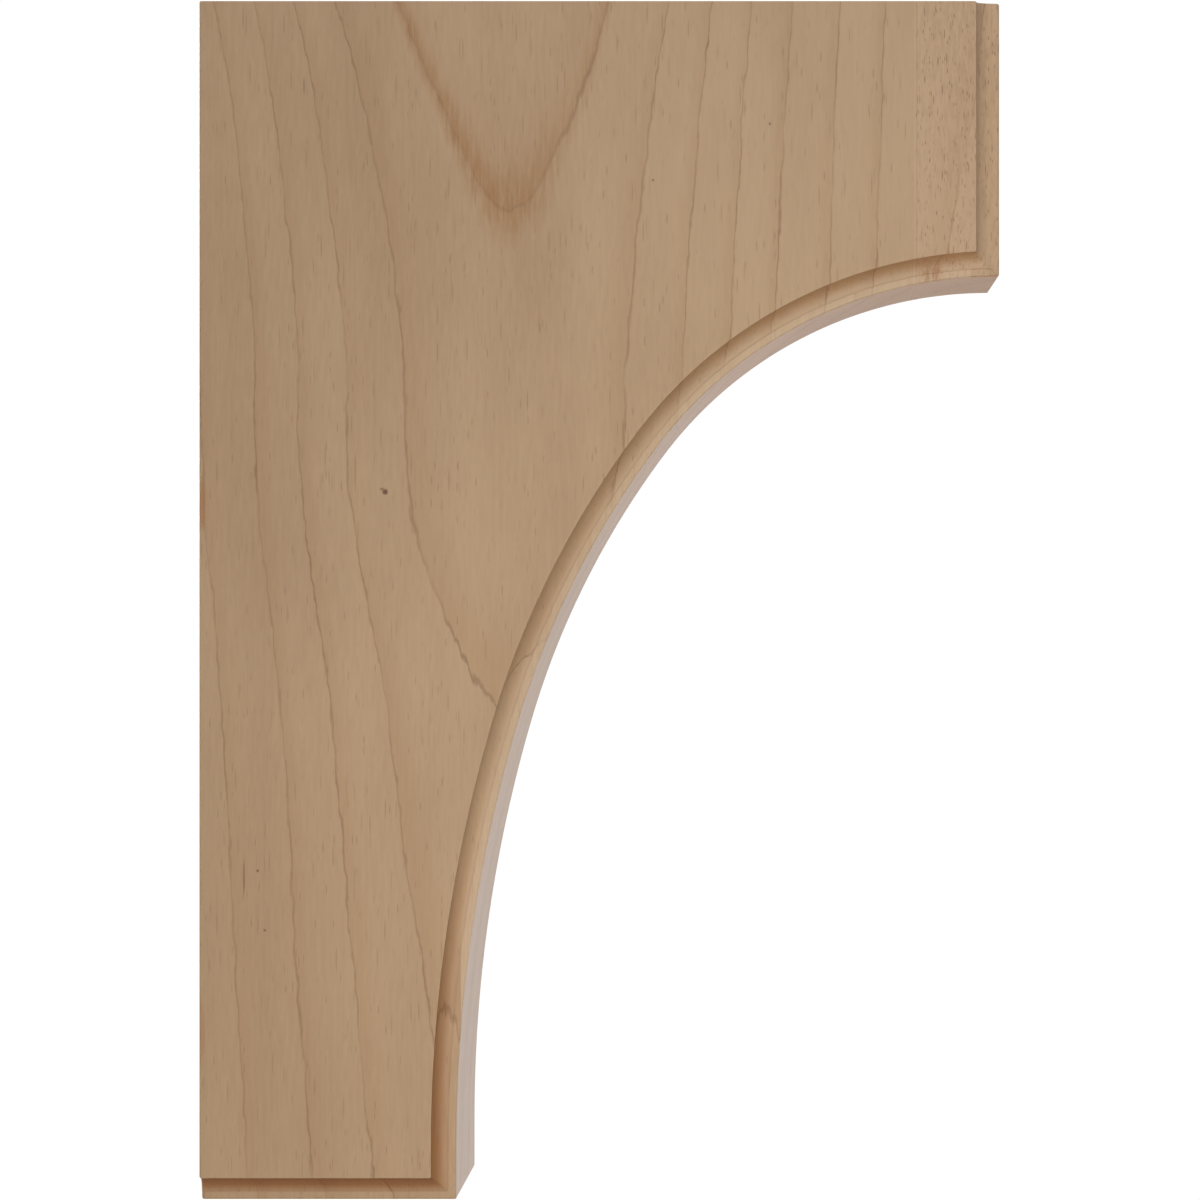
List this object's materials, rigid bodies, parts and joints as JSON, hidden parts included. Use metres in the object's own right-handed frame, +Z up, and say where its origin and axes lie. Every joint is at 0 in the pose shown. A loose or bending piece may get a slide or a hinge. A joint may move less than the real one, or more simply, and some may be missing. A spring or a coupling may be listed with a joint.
{
  "type": "wooden corbel bracket",
  "caption": "Plain wooden corbel with a flat shelf, a square nose and a hollow curve down to a narrow foot, edged with a cove and fillet on both broad faces.",
  "frame": {"origin": "centre of the flat back face, where the bracket meets the wall", "axes": "+X straight out from the wall, +Y across the thickness, +Z up"},
  "size_m": [0.2032, 0.0636, 0.3048],
  "materials": {
    "board_wood": "sanded bare hardwood, matt",
    "strip_wood": "sanded bare hardwood, matt, with short dark flecks"
  },
  "bodies": {
    "root": {"main_board": "board_wood", "nose_strip": "strip_wood"}
  },
  "joints": []
}
